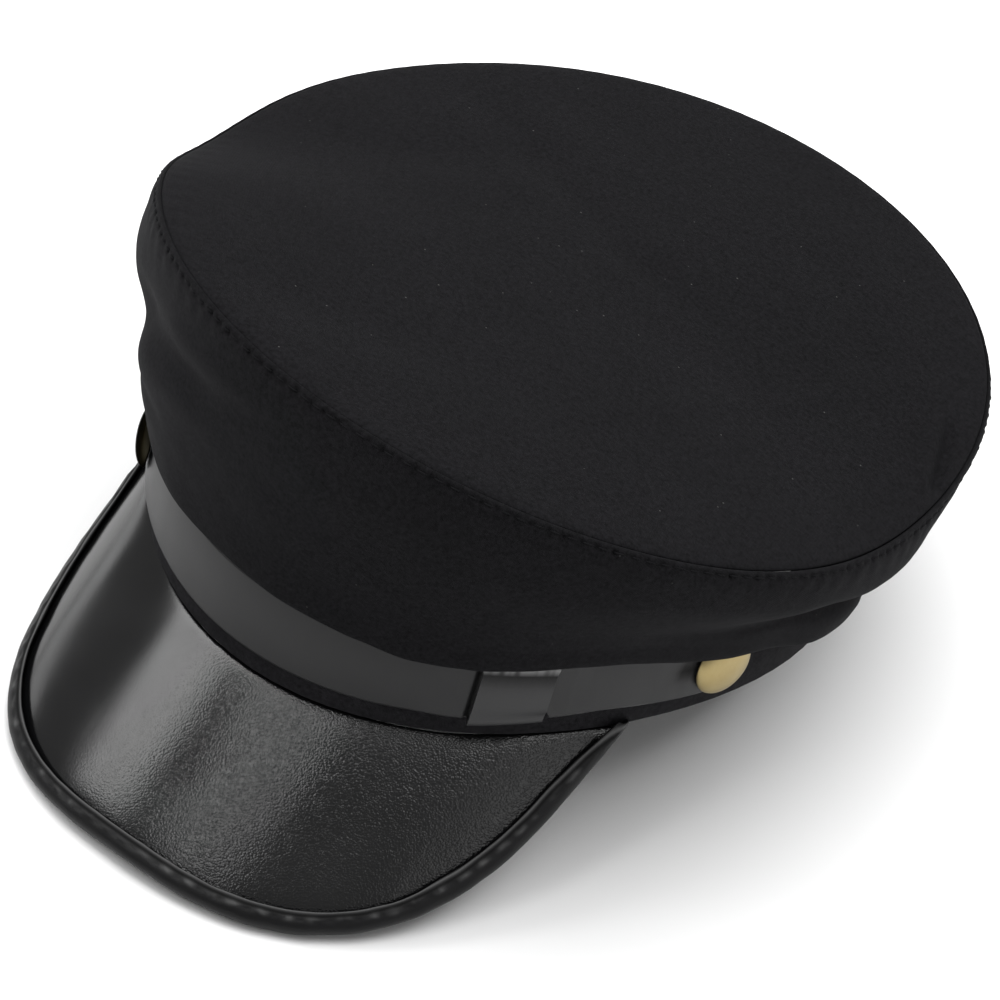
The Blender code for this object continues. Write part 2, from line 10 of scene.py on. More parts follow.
import bmesh
import bpy
import numpy as np
from mathutils import Euler, Matrix, Vector, geometry, kdtree, noise


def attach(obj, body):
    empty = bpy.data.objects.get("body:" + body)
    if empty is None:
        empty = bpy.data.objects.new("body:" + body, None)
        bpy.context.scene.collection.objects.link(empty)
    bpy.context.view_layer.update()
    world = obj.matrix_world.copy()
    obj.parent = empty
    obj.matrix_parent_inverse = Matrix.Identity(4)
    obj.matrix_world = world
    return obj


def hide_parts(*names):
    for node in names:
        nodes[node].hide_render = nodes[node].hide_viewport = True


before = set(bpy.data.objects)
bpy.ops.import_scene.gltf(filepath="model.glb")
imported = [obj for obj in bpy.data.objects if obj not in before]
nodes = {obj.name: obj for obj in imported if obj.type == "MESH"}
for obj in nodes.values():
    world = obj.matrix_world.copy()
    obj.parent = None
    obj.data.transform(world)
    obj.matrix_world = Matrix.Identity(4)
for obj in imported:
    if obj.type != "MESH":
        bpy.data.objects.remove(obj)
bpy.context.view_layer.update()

# %% [markdown]
# A cloth or leather piece starts as a copy of its frame node. The node's mesh is loose triangles, so the
# copy is merged, its triangles are joined to quads, and a Subdivision Surface rounds it. It could be drawn
# anew, but a copy sits exactly where the frame holds it, with clean quads to press folds and stitches into.

# %% Copies of nodes
MERGE = 0.000002


def choose(thing):
    bpy.ops.object.select_all(action='DESELECT')
    thing.select_set(True)
    bpy.context.view_layer.objects.active = thing


def apply_all(thing):
    choose(thing)
    for modifier in list(thing.modifiers):
        bpy.ops.object.modifier_apply(modifier=modifier.name)


def copy_node(node, name):
    """A new piece with the node's mesh, merged and joined to quads."""
    piece = bpy.data.objects.new(name, nodes[node].data.copy())
    piece.data.name = name
    bpy.context.scene.collection.objects.link(piece)
    choose(piece)
    bpy.ops.object.mode_set(mode='EDIT')
    bpy.ops.mesh.select_all(action='SELECT')
    bpy.ops.mesh.remove_doubles(threshold=MERGE)
    bpy.ops.mesh.customdata_custom_splitnormals_clear()
    bpy.ops.mesh.tris_convert_to_quads(face_threshold=math.radians(60), shape_threshold=math.radians(170))
    bpy.ops.mesh.select_all(action='DESELECT')
    bpy.ops.object.mode_set(mode='OBJECT')
    piece.data.materials.clear()
    return piece


def subdivide_smooth(piece, levels):
    smooth = piece.modifiers.new("smooth", 'SUBSURF')
    smooth.levels = levels
    smooth.render_levels = levels
    apply_all(piece)


def round_edges(piece, width, segments):
    bevel = piece.modifiers.new("soft edges", 'BEVEL')
    bevel.width = width
    bevel.segments = segments
    bevel.limit_method = 'ANGLE'
    bevel.angle_limit = math.radians(35)
    apply_all(piece)


def finish_piece(piece, node, material, smooth_angle=85):
    """Gives the piece its material, smooth shading and body, and hides its node. The threads have no node.
    """
    piece.data.materials.append(material)
    choose(piece)
    bpy.ops.object.shade_smooth_by_angle(angle=math.radians(smooth_angle))
    if node:
        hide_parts(node)
    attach(piece, "root")
    print(piece.name, "has", sum(len(face.vertices) - 2 for face in piece.data.polygons), "triangles")


# %% [markdown]
# Folds, hollows and ripples are small moves of a mesh's points, worked out for all its points at once. A
# wall has two skins, and both have to move the same way, or they would cross.

# %% Moving points


def points_of(piece):
    values = np.empty(len(piece.data.vertices) * 3)
    piece.data.vertices.foreach_get("co", values)
    return values.reshape(-1, 3)


def normals_of(piece):
    values = np.empty(len(piece.data.vertices) * 3)
    piece.data.vertices.foreach_get("normal", values)
    return values.reshape(-1, 3)


def outward_of(points, normals):
    """The way out of the cap at each point, the same for a wall's outer and inner skin."""
    radial = points * np.array((1.0, 1.0, 0.0))
    radial /= np.linalg.norm(radial, axis=1)[:, None]
    facing = np.where((normals * radial).sum(1) < 0, -1.0, 1.0)
    return normals * facing[:, None]


def move_points(piece, values):
    piece.data.vertices.foreach_set("co", values.ravel())
    piece.data.update()


def turn_of(points):
    """The direction of each point round the cap, in radians from the front towards the wearer's left."""
    return np.arctan2(points[:, 0], -points[:, 1])


def bell(distance, spread):
    return np.exp(-(distance / spread) ** 2)


def soft_noise(points, scale, seed):
    """Smooth noise between -1 and 1, one value for each point, with lumps about so many metres across."""
    offset = Vector((seed * 7.3, seed * 3.1, seed * 5.7))
    return np.array([noise.noise(Vector(point) / scale + offset) for point in points])


# %% [markdown]
# The photograph was taken with a long lens, from above and to the wearer's left, with the picture turned a
# little. The camera is placed by its spot in space and by three angles, which were fitted to the outline of
# the cap.

# %% Camera
CAMERA_SPOT = Vector((0.3522, -0.5741, 0.5711))
CAMERA_AROUND = 31.65
CAMERA_ABOVE = 38.64
CAMERA_ROLL = 10.51
LENS_MM = 121.73
SENSOR_MM = 36.0

lens = bpy.data.cameras.new("photo_camera")
lens.lens = LENS_MM
lens.sensor_width = SENSOR_MM
camera = bpy.data.objects.new("photo_camera", lens)
bpy.context.scene.collection.objects.link(camera)
level = Euler((math.radians(90 - CAMERA_ABOVE), 0, math.radians(CAMERA_AROUND)), 'XYZ').to_matrix()
camera.matrix_world = (Matrix.Translation(CAMERA_SPOT)
                       @ (level @ Matrix.Rotation(math.radians(CAMERA_ROLL), 3, 'Z')).to_4x4())
bpy.context.scene.camera = camera
print("camera", [round(value, 4) for value in camera.location])

# %% [markdown]
# The finishes are built from shader nodes. Each helper adds one kind of node and links it, so that a finish
# reads as a short list of steps.

# %% Shader helpers


def add_node(tree, kind, settings=(), values=()):
    node = tree.nodes.new(kind)
    for name, value in settings:
        setattr(node, name, value)
    for name, value in values:
        node.inputs[name].default_value = value
    return node


def new_group(name, inputs, outputs):
    group = bpy.data.node_groups.new(name, 'ShaderNodeTree')
    for title, kind, value in inputs:
        socket = group.interface.new_socket(title, in_out='INPUT', socket_type=kind)
        if value is not None:
            socket.default_value = value
    for title, kind in outputs:
        group.interface.new_socket(title, in_out='OUTPUT', socket_type=kind)
    return group, group.nodes.new('NodeGroupInput'), group.nodes.new('NodeGroupOutput')


def math_node(tree, operation, first, second=None, clamp=False):
    """A Math node whose inputs are sockets or plain numbers."""
    node = tree.nodes.new('ShaderNodeMath')
    node.operation = operation
    node.use_clamp = clamp
    for place, value in enumerate((first, second)):
        if value is None:
            continue
        if isinstance(value, (int, float)):
            node.inputs[place].default_value = value
        else:
            tree.links.new(value, node.inputs[place])
    return node.outputs[0]


def plus(tree, first, second, clamp=False):
    return math_node(tree, 'ADD', first, second, clamp=clamp)


def times(tree, first, second):
    return math_node(tree, 'MULTIPLY', first, second)


def mix_colours(tree, share, first, second):
    node = tree.nodes.new('ShaderNodeMix')
    node.data_type = 'RGBA'
    for socket, value in ((node.inputs[0], share), (node.inputs[6], first), (node.inputs[7], second)):
        if isinstance(value, (int, float, tuple)):
            socket.default_value = value
        else:
            tree.links.new(value, socket)
    return node.outputs[2]


def scale_colour(tree, colour, share):
    node = add_node(tree, 'ShaderNodeVectorMath', (("operation", 'SCALE'),))
    tree.links.new(colour, node.inputs[0])
    tree.links.new(share, node.inputs["Scale"])
    return node.outputs[0]


def noise_value(tree, vector, scale, detail=2.0, roughness=0.5):
    values = (("Scale", scale), ("Detail", detail), ("Roughness", roughness))
    node = add_node(tree, 'ShaderNodeTexNoise', (), values)
    tree.links.new(vector, node.inputs["Vector"])
    return node.outputs["Fac"]


# %% [markdown]
# A cloth weave is ribs of yarn. Here it is a node group, because the top, the side and the band all use it:
# slanted ribs crossed by finer ones, a fine fuzz, a mottled shade, and a few specks of lint. It puts out a
# colour, a roughness and a height, and each material feeds them to its own shader. Scales of noise are
# lumps per metre.

# %% Cloth weave
WOBBLE_WIDTH = 0.0004
RIB_HEIGHT = 0.10
YARN_HEIGHT = 0.05
YARNS_PER_RIB = 1.4
FUZZ_HEIGHT = 0.5
SLOW_SHADE = 0.34
MOTTLE_SHADE = 2.6
HEIGHT_SHADE = 0.2
SHADE_OFFSET = -0.95
DARKEST_SHADE = 0.2
HOLLOW_SHADE = 0.75
LINT_SIZE = 0.050
LINT_RARITY = 0.76
LINT_COLOUR = (0.055, 0.055, 0.053, 1.0)
CLOTH_ROUGHNESS = 0.82
FUZZ_ROUGHNESS = 0.12
GROUP_BLACK = (0.02, 0.02, 0.02, 1.0)


def weave_height(group, cloth_uv, place, rib_width, fuzz):
    """Slanted ribs, crossed by yarns, under a fuzz."""
    split = group.nodes.new('ShaderNodeSeparateXYZ')
    group.links.new(cloth_uv, split.inputs[0])
    across, along = split.outputs["X"], split.outputs["Y"]
    wobble = times(group, noise_value(group, place, 260.0), WOBBLE_WIDTH)
    slant = plus(group, plus(group, across, along), wobble)
    rib = math_node(group, 'SINE', times(group, math_node(group, 'DIVIDE', slant, rib_width), math.tau))
    cross = math_node(group, 'DIVIDE', math_node(group, 'SUBTRACT', across, along), rib_width)
    yarn = math_node(group, 'SINE', times(group, cross, math.tau * YARNS_PER_RIB))
    weave = plus(group, times(group, rib, RIB_HEIGHT), times(group, yarn, YARN_HEIGHT))
    return plus(group, plus(group, weave, 0.5), times(group, fuzz, FUZZ_HEIGHT))


def lint_specks(group, place, amount):
    cells = add_node(group, 'ShaderNodeTexVoronoi', (), (("Scale", 230.0), ("Randomness", 1.0)))
    group.links.new(place, cells.inputs["Vector"])
    near = math_node(group, 'LESS_THAN', cells.outputs["Distance"], LINT_SIZE)
    tone = group.nodes.new('ShaderNodeSeparateColor')
    group.links.new(cells.outputs["Color"], tone.inputs[0])
    rare = math_node(group, 'GREATER_THAN', tone.outputs[0], LINT_RARITY)
    return times(group, times(group, near, rare), amount)


def build_weave():
    """Twill cloth on a UV map in metres."""
    group, given, result = new_group(
        "twill_weave",
        (("Cloth UV", 'NodeSocketVector', None), ("Place", 'NodeSocketVector', None),
         ("Colour", 'NodeSocketColor', GROUP_BLACK), ("Rib Width", 'NodeSocketFloat', 0.0006),
         ("Lint", 'NodeSocketFloat', 1.0), ("Painted Hollow Shade", 'NodeSocketFloat', 0.0)),
        (("Colour", 'NodeSocketColor'), ("Roughness", 'NodeSocketFloat'), ("Height", 'NodeSocketFloat')))
    links = group.links
    place = given.outputs["Place"]
    fuzz = noise_value(group, place, 2600.0, 3.0, 0.7)
    height = weave_height(group, given.outputs["Cloth UV"], place, given.outputs["Rib Width"], fuzz)
    links.new(height, result.inputs["Height"])

    slow = noise_value(group, place, 28.0, 3.0, 0.6)
    shade = plus(group, times(group, slow, SLOW_SHADE), 0.80)
    mottle = noise_value(group, place, 850.0, 3.0, 0.75)
    uneven = plus(group, times(group, mottle, MOTTLE_SHADE), fuzz)
    plain = plus(group, times(group, height, HEIGHT_SHADE), SHADE_OFFSET)
    grain = math_node(group, 'MAXIMUM', plus(group, plain, uneven), DARKEST_SHADE)
    # Painted shade: the hollow input darkens the colour in stitch hollows and along the seam.
    depth = math_node(group, 'SUBTRACT', 1.0, times(group, given.outputs["Painted Hollow Shade"], HOLLOW_SHADE))
    tone = times(group, times(group, shade, grain), depth)
    scaled = scale_colour(group, given.outputs["Colour"], tone)
    speck = lint_specks(group, place, given.outputs["Lint"])
    links.new(mix_colours(group, speck, scaled, LINT_COLOUR), result.inputs["Colour"])
    links.new(plus(group, times(group, fuzz, FUZZ_ROUGHNESS), CLOTH_ROUGHNESS), result.inputs["Roughness"])
    return group


WEAVE = build_weave()
print("shared finish", WEAVE.name)

# %% [markdown]
# Coated leather cloth has a pebble grain: small rounded cells with fine valleys between them. The group
# makes them from Voronoi cells bent by noise. Strength fades the grain where the sheet was stretched
# smooth. The pale edge input mixes in a pale grey for cut and lighter edges and for painted highlights, and
# Shade paints shade into grooves and under other parts.

# %% Leather grain
BEND_WIDTH = 0.0009
CELL_SMOOTHNESS = 0.35
PEBBLE_HEIGHT = 0.8
FINE_HEIGHT = 0.25
CLOUD_ROUGHNESS = 0.16
CLOUD_SHADE = 0.4
PIT_ROUGHNESS = 0.06
SHADE_ROUGHNESS = 0.4
SHADE_DARKENS = 0.85
PALE_EDGE_AND_HIGHLIGHT_COLOUR = (0.16, 0.16, 0.16, 1.0)


def bent_cells(group, place, cell_size):
    """How far each place is from the middle of its cell, nought at the middle."""
    bent = add_node(group, 'ShaderNodeTexNoise', (), (("Scale", 420.0), ("Detail", 2.0)))
    group.links.new(place, bent.inputs["Vector"])
    shift = add_node(group, 'ShaderNodeVectorMath', (("operation", 'MULTIPLY_ADD'),))
    group.links.new(bent.outputs["Color"], shift.inputs[0])
    shift.inputs[1].default_value = (BEND_WIDTH, BEND_WIDTH, BEND_WIDTH)
    group.links.new(place, shift.inputs[2])
    cells = add_node(group, 'ShaderNodeTexVoronoi', (("feature", 'SMOOTH_F1'),),
                     (("Smoothness", CELL_SMOOTHNESS),))
    group.links.new(shift.outputs[0], cells.inputs["Vector"])
    group.links.new(math_node(group, 'DIVIDE', 1.0, cell_size), cells.inputs["Scale"])
    return cells.outputs["Distance"]


def build_grain():
    group, given, result = new_group(
        "leather_grain",
        (("Place", 'NodeSocketVector', None), ("Colour", 'NodeSocketColor', GROUP_BLACK),
         ("Cell Size", 'NodeSocketFloat', 0.0009), ("Strength", 'NodeSocketFloat', 1.0),
         ("Gloss", 'NodeSocketFloat', 0.35), ("Pale_Edge_And_Highlight", 'NodeSocketFloat', 0.0),
         ("Shade", 'NodeSocketFloat', 0.0)),
        (("Colour", 'NodeSocketColor'), ("Roughness", 'NodeSocketFloat'), ("Height", 'NodeSocketFloat')))
    links = group.links
    place, strength = given.outputs["Place"], given.outputs["Strength"]
    away = bent_cells(group, place, given.outputs["Cell Size"])
    pebble = math_node(group, 'SUBTRACT', 1.0, away)
    fine = noise_value(group, place, 3000.0, 3.0, 0.6)
    grain = plus(group, times(group, pebble, PEBBLE_HEIGHT), times(group, fine, FINE_HEIGHT))
    links.new(times(group, grain, strength), result.inputs["Height"])

    cloud = noise_value(group, place, 45.0, 3.0, 0.55)
    spread = times(group, math_node(group, 'SUBTRACT', cloud, 0.5), CLOUD_ROUGHNESS)
    pits = times(group, times(group, away, PIT_ROUGHNESS), strength)
    dull = plus(group, times(group, given.outputs["Shade"], SHADE_ROUGHNESS), pits)
    roughness = plus(group, plus(group, given.outputs["Gloss"], spread), dull, clamp=True)
    links.new(roughness, result.inputs["Roughness"])

    # Painted shade darkens the colour, and a pale grey is mixed in for pale edges and painted highlights.
    lit = math_node(group, 'SUBTRACT', 1.0, times(group, given.outputs["Shade"], SHADE_DARKENS))
    tone = plus(group, times(group, cloud, CLOUD_SHADE), 0.8)
    scaled = scale_colour(group, given.outputs["Colour"], times(group, tone, lit))
    links.new(mix_colours(group, given.outputs["Pale_Edge_And_Highlight"], scaled, PALE_EDGE_AND_HIGHLIGHT_COLOUR), result.inputs["Colour"])
    return group


GRAIN = build_grain()
print("shared finish", GRAIN.name)

# %% [markdown]
# Each material keeps its own shader. Cloth is matt, with hardly any shine and a trace of sheen from its
# fibres.

# %% Cloth materials
UV_NAME = "cloth"
RIB_WIDTH = 0.00055
CLOTH_BUMP = (0.00018, 0.6)


def start_material(name):
    material = bpy.data.materials.new(name)
    material.use_nodes = True
    tree = material.node_tree
    return material, tree, tree.nodes["Principled BSDF"]


def place_of(tree):
    return tree.nodes.new('ShaderNodeTexCoord').outputs["Object"]


def bump_into(tree, shader, height, bump_values):
    distance, strength = bump_values
    bump = add_node(tree, 'ShaderNodeBump', (), (("Distance", distance), ("Strength", strength)))
    tree.links.new(height, bump.inputs["Height"])
    tree.links.new(bump.outputs["Normal"], shader.inputs["Normal"])


def cloth_material(name, colour, lint, hollow_painted_shade=None):
    """Woven cloth. The attribute it is given paints shade where stitches pull the cloth in."""
    material, tree, shader = start_material(name)
    weave = add_node(tree, 'ShaderNodeGroup', (("node_tree", WEAVE),),
                     (("Colour", (*colour, 1.0)), ("Rib Width", RIB_WIDTH), ("Lint", lint)))
    uv = add_node(tree, 'ShaderNodeUVMap', (("uv_map", UV_NAME),))
    tree.links.new(uv.outputs[0], weave.inputs["Cloth UV"])
    tree.links.new(place_of(tree), weave.inputs["Place"])
    if hollow_painted_shade:
        hollow = add_node(tree, 'ShaderNodeAttribute', (("attribute_name", hollow_painted_shade),))
        tree.links.new(hollow.outputs["Fac"], weave.inputs["Painted Hollow Shade"])
    tree.links.new(weave.outputs["Colour"], shader.inputs["Base Color"])
    tree.links.new(weave.outputs["Roughness"], shader.inputs["Roughness"])
    bump_into(tree, shader, weave.outputs["Height"], CLOTH_BUMP)
    shader.inputs["Specular IOR Level"].default_value = 0.06
    shader.inputs["Sheen Weight"].default_value = 0.01
    shader.inputs["Sheen Roughness"].default_value = 0.5
    shader.inputs["Sheen Tint"].default_value = (0.75, 0.78, 0.85, 1.0)
    return material


top_cloth = cloth_material("top_cloth", (0.0060, 0.0058, 0.0066), lint=1.0)
side_cloth = cloth_material("side_cloth", (0.0068, 0.0066, 0.0074), lint=0.5, hollow_painted_shade="stitch_hollow_painted_shade")
band_cloth = cloth_material("band_cloth", (0.0110, 0.0106, 0.0118), lint=0.0)
print("cloth", top_cloth.name, side_cloth.name, band_cloth.name)

# %% [markdown]
# Leather cloth is smoother and shines more, the peak most of all. The brass is satin with clouds, and one
# button's brass is darkened with painted shade, its shine dimmed too.

# %% Leather and brass materials
LEATHER_BUMP = (0.00011, 0.9)
BRASS_BUMP = (0.00004, 0.5)
BRASS_ROUGHNESS = 0.30
BRASS_CLOUD_ROUGHNESS = 0.22


def leather_material(name, colour, cell, strength, gloss, shine, attributes=()):
    """Leather cloth. Each attribute feeds the group input of its name."""
    material, tree, shader = start_material(name)
    grain = add_node(tree, 'ShaderNodeGroup', (("node_tree", GRAIN),),
                     (("Colour", (*colour, 1.0)), ("Cell Size", cell), ("Strength", strength),
                      ("Gloss", gloss)))
    tree.links.new(place_of(tree), grain.inputs["Place"])
    for source in attributes:
        attribute = add_node(tree, 'ShaderNodeAttribute', (("attribute_name", source.lower()),))
        tree.links.new(attribute.outputs["Fac"], grain.inputs[source])
    tree.links.new(grain.outputs["Colour"], shader.inputs["Base Color"])
    tree.links.new(grain.outputs["Roughness"], shader.inputs["Roughness"])
    bump_into(tree, shader, grain.outputs["Height"], LEATHER_BUMP)
    shader.inputs["Specular IOR Level"].default_value = shine
    return material


def brass_material(name, dark, light, edge):
    """Satin brass with clouds. Edge is how bright it is where it is seen from the side."""
    material, tree, shader = start_material(name)
    place = place_of(tree)
    cloudy = noise_value(tree, place, 300.0, 4.0, 0.65)
    fine = noise_value(tree, place, 2200.0, 3.0, 0.6)
    tree.links.new(mix_colours(tree, cloudy, (*dark, 1.0), (*light, 1.0)), shader.inputs["Base Color"])
    rough = plus(tree, times(tree, cloudy, BRASS_CLOUD_ROUGHNESS), BRASS_ROUGHNESS)
    tree.links.new(rough, shader.inputs["Roughness"])
    shader.inputs["Metallic"].default_value = 1.0
    shader.inputs["Specular Tint"].default_value = (edge, edge, edge, 1.0)
    bump_into(tree, shader, fine, BRASS_BUMP)
    return material


peak_leather = leather_material("peak_leather", (0.0034, 0.0034, 0.0037), cell=0.00050, strength=1.0,
                                gloss=0.18, shine=0.55, attributes=("Strength",))
edge_leather = leather_material("edge_leather", (0.0050, 0.0050, 0.0054), cell=0.00050, strength=0.3,
                                gloss=0.42, shine=0.20, attributes=("Pale_Edge_And_Highlight", "Shade"))
strap_leather = leather_material("strap_leather", (0.0058, 0.0058, 0.0065), cell=0.0005, strength=0.10,
                                 gloss=0.46, shine=0.37, attributes=("Pale_Edge_And_Highlight", "Shade"))
loop_leather = leather_material("loop_leather", (0.0125, 0.0125, 0.0136), cell=0.0005, strength=0.15,
                                gloss=0.44, shine=0.46, attributes=("Pale_Edge_And_Highlight", "Shade"))
thread_black = leather_material("thread_black", (0.0075, 0.0075, 0.0082), cell=0.0003, strength=0.6,
                                gloss=0.85, shine=0.05)
brass = brass_material("satin_brass", (0.28, 0.21, 0.09), (0.40, 0.33, 0.17), edge=1.0)
# Painted shade: the same brass made dark, with its shine dimmed, for the button in shade.
painted_shade_brass = brass_material("brass_painted_in_shade", (0.012, 0.011, 0.008), (0.030, 0.027, 0.019), edge=0.02)
print("materials", len(bpy.data.materials))

# %% [markdown]
# The top seam is where the disc meets the side panel. Its line is read from the frame: the disc's outermost
# points, and beside each of them the highest one. Everything sewn there is measured along this line.

# %% The top seam
SEAM_STEP = 0.00025
CORNER_APART = 0.0016


def disc_edge():
    """The disc's edge as a closed line of points, in order round the cap."""
    work = bmesh.new()
    work.from_mesh(nodes["crown_top"].data)
    bmesh.ops.remove_doubles(work, verts=work.verts, dist=MERGE)
    spots = [vertex.co.copy() for vertex in work.verts]
    work.free()
    edge = []
    for number in geometry.convex_hull_2d([spot.xy for spot in spots]):
        beside = [spot for spot in spots if (spot.xy - spots[number].xy).length < CORNER_APART]
        highest = max(beside, key=lambda spot: spot.z)
        if not edge or (highest - edge[-1]).length > CORNER_APART:
            edge.append(highest)
    return edge


def even_line(corners, step):
    """Points so far apart along an open line through the corners, without the last corner."""
    line = []
    for start, end in zip(corners, corners[1:]):
        pieces = max(1, round((end - start).length / step))
        line.extend(start.lerp(end, piece / pieces) for piece in range(pieces))
    return line


def along_line(line):
    """How far along the line each of its points is, and its length back to the first point."""
    places = [0.0]
    for start, end in zip(line, line[1:] + line[:1]):
        places.append(places[-1] + (end - start).length)
    return np.array(places[:-1]), places[-1]


def tree_of(line):
    tree = kdtree.KDTree(len(line))
    for number, point in enumerate(line):
        tree.insert(point, number)
    tree.balance()
    return tree


def nearest_on(tree, points):
    """For each point, the number of the line's nearest point and its distance."""
    found = [tree.find(Vector(point)) for point in points]
    return np.array([number for _, number, _ in found]), np.array([distance for _, _, distance in found])


seam_corners = disc_edge()
seam_line = even_line(seam_corners + seam_corners[:1], SEAM_STEP)
seam_places, seam_length = along_line(seam_line)
seam_tree = tree_of(seam_line)
print("top seam", round(seam_length * 1000), "mm round, from", len(seam_line), "points")

# %% [markdown]
# Small wrinkles are pushed into the cloth by code, as soft creases: long shallow valleys with a low ridge
# beside each. A cloth simulation could make them, but not where the photograph has them. Each crease has
# two ends, a width and a depth in metres, and a negative depth makes a ridge.

# %% Creases
Crease = namedtuple("Crease", "start end width depth")


def crease_push(points, creases):
    """How far each point is pushed in by creases, whose ends are places across and back."""
    push = np.zeros(len(points))
    for crease in creases:
        start = np.array(crease.start)
        run = np.array(crease.end) - start
        length = np.hypot(*run)
        arm = points[:, :2] - start
        share = arm @ run / length ** 2
        aside = (arm[:, 0] * run[1] - arm[:, 1] * run[0]) / length
        fade = np.clip(np.minimum(share + 0.25, 1.25 - share) / 0.5, 0, 1)
        fade = fade * fade * (3 - 2 * fade)
        ridge = bell(aside - 1.6 * crease.width, crease.width)
        push += crease.depth * (bell(aside, crease.width) - 0.45 * ridge) * fade
    return push


def lay_uv(piece, across, along):
    """The piece's cloth UV map, in metres: one pair of values for each vertex."""
    layer = piece.data.uv_layers.get(UV_NAME) or piece.data.uv_layers.new(name=UV_NAME)
    corner_vertex = np.empty(len(piece.data.loops), dtype=np.int32)
    piece.data.loops.foreach_get("vertex_index", corner_vertex)
    layer.data.foreach_set("uv", np.column_stack((across, along))[corner_vertex].astype(np.float32).ravel())


def lay_values(piece, name, values):
    layer = piece.data.attributes.new(name, 'FLOAT', 'POINT')
    layer.data.foreach_set("value", values.astype(np.float32))


# %% [markdown]
# The top is one disc of cloth, slack inside its seam. Its broad dents come with the frame, and the creases
# are where the photograph has them. At the edge it reaches out to the side panel, with small puckers from
# the sewing.

# %% Top disc
TOP_CREASES = (
    Crease((-0.073, 0.068), (-0.001, 0.034), 0.0080, 0.0008),
    Crease((-0.001, 0.034), (0.033, 0.031), 0.0070, 0.0006),
    Crease((0.041, -0.046), (0.067, 0.061), 0.0034, -0.0003),
    Crease((0.085, 0.064), (0.0965, 0.038), 0.0019, 0.0026),
    Crease((-0.070, 0.010), (-0.040, 0.060), 0.0110, 0.0006),
    Crease((-0.030, -0.080), (0.030, -0.050), 0.0120, 0.0006),
    Crease((0.030, 0.090), (0.060, 0.060), 0.0090, 0.0007),
)
EDGE_OUT = 0.0005
TOP_WAVE = 0.00022
TOP_PUCKER = 0.00004
TOP_PUCKER_PITCH = 0.0078

top = copy_node("crown_top", "crown_top_cloth")
subdivide_smooth(top, 3)
points = points_of(top)
numbers, distance = nearest_on(seam_tree, points)
away = points[:, :2] - points[:, :2].mean(axis=0)
away /= np.linalg.norm(away, axis=1)[:, None]
points[:, :2] += away * (EDGE_OUT * bell(distance, 0.0015))[:, None]
push = crease_push(points, TOP_CREASES) * np.clip(distance / 0.004, 0, 1)
push += soft_noise(points, 0.022, 3) * TOP_WAVE * np.clip(distance / 0.012, 0, 1)
pucker = np.sin(seam_places[numbers] / TOP_PUCKER_PITCH * math.tau + soft_noise(points, 0.02, 5) * 2.5)
push += pucker * TOP_PUCKER * bell(distance - 0.004, 0.0035)
points[:, 2] -= push
move_points(top, points)
lay_uv(top, points[:, 0], points[:, 1])
finish_piece(top, "crown_top", top_cloth)

# %% [markdown]
# The side panel is the same cloth, sewn to the disc and turned over the strap at the front. Each row of the
# table is a direction round the cap in degrees, and how many millimetres the lower lip falls there.

# %% The side panel's lip
LIP_FALL = (
    (-78, 0.0), (-60, 2.0), (-45, 2.4), (-25, 2.8), (-8, 2.5), (3, 3.4), (14, 4.8), (22, 5.0),
    (30, 3.6), (38, 3.2), (46, 2.4), (54, 2.4), (62, 2.9), (76, 2.8), (90, 1.2), (104, 0.0),
)
LIP_REACH_UP = 0.0105
LIP_PUSH_OUT = 0.0005


def lip_edge(points, turn, reach, angles):
    """The height and the reach of the lower edge in each direction, smoothed round the cap."""
    low_z, low_reach = [], []
    for angle in angles:
        near = np.where(np.abs((turn - angle + 180) % 360 - 180) < 2.5)[0]
        lowest = near[np.argmin(points[near, 2])]
        low_z.append(points[lowest, 2])
        low_reach.append(reach[lowest])
    smooth = np.ones(5) / 5
    return (np.convolve(np.pad(low_z, 2, 'wrap'), smooth, 'valid'),
            np.convolve(np.pad(low_reach, 2, 'wrap'), smooth, 'valid'))


def lip_fall(piece):
    """Let the cloth's lower lip hang over the strap, more at the front than at the sides."""
    points = points_of(piece)
    turn = np.degrees(turn_of(points))
    reach = np.hypot(points[:, 0], points[:, 1])
    angles = np.arange(-180, 181, 3)
    low_z, low_reach = lip_edge(points, turn, reach, angles)
    fall = np.interp(turn, [row[0] for row in LIP_FALL], [row[1] * 0.001 for row in LIP_FALL])
    above = points[:, 2] - np.interp(turn, angles, low_z)
    outer = np.clip((reach - np.interp(turn, angles, low_reach) + 0.0027) / 0.0014, 0, 1)
    share = bell(np.maximum(above, 0), LIP_REACH_UP) * outer * outer * (3 - 2 * outer)
    scallop = 1 + 0.07 * soft_noise(points * np.array((1, 1, 0)), 0.009, 17)
    points[:, 2] -= fall * share * scallop
    push = LIP_PUSH_OUT * share * (fall > 0.0001) / reach
    points[:, :2] *= (1 + push)[:, None]
    move_points(piece, points)


side = copy_node("crown_side", "crown_side_cloth")
subdivide_smooth(side, 2)
lip_fall(side)
print("lip rows", len(LIP_FALL))

# %% [markdown]
# Beside the seam runs a line of topstitching, 2 mm down: each stitch dips into the cloth at its ends and
# makes small puckers. The strip beside the seam is divided more finely, and the hollows are pressed into
# its outer skin, each with its own strength, because no stitch pulls just like the next. The rim above them
# stands up a little.

# %% Hollows and puckers
STITCH_PITCH = 0.0039
STITCH_DOWN = 0.0022
FINE_STRIP = 0.0056
STITCH_HOLLOW = 0.00055
HOLLOW_RADIUS = 0.00056
LINE_DIP = 0.00016
RIM_RISE = 0.00018
RIM_DOWN = 0.0017
SIDE_PUCKER = 0.00010


def divide_near_seam(piece, reach):
    """Divide the piece's faces that lie near the seam."""
    work = bmesh.new()
    work.from_mesh(piece.data)
    near = [face for face in work.faces if seam_tree.find(face.calc_center_median())[2] < reach]
    edges = list({edge for face in near for edge in face.edges})
    bmesh.ops.subdivide_edges(work, edges=edges, cuts=2, use_grid_fill=True)
    work.to_mesh(piece.data)
    work.free()
    print(piece.name, "divided", len(near), "faces beside the seam")


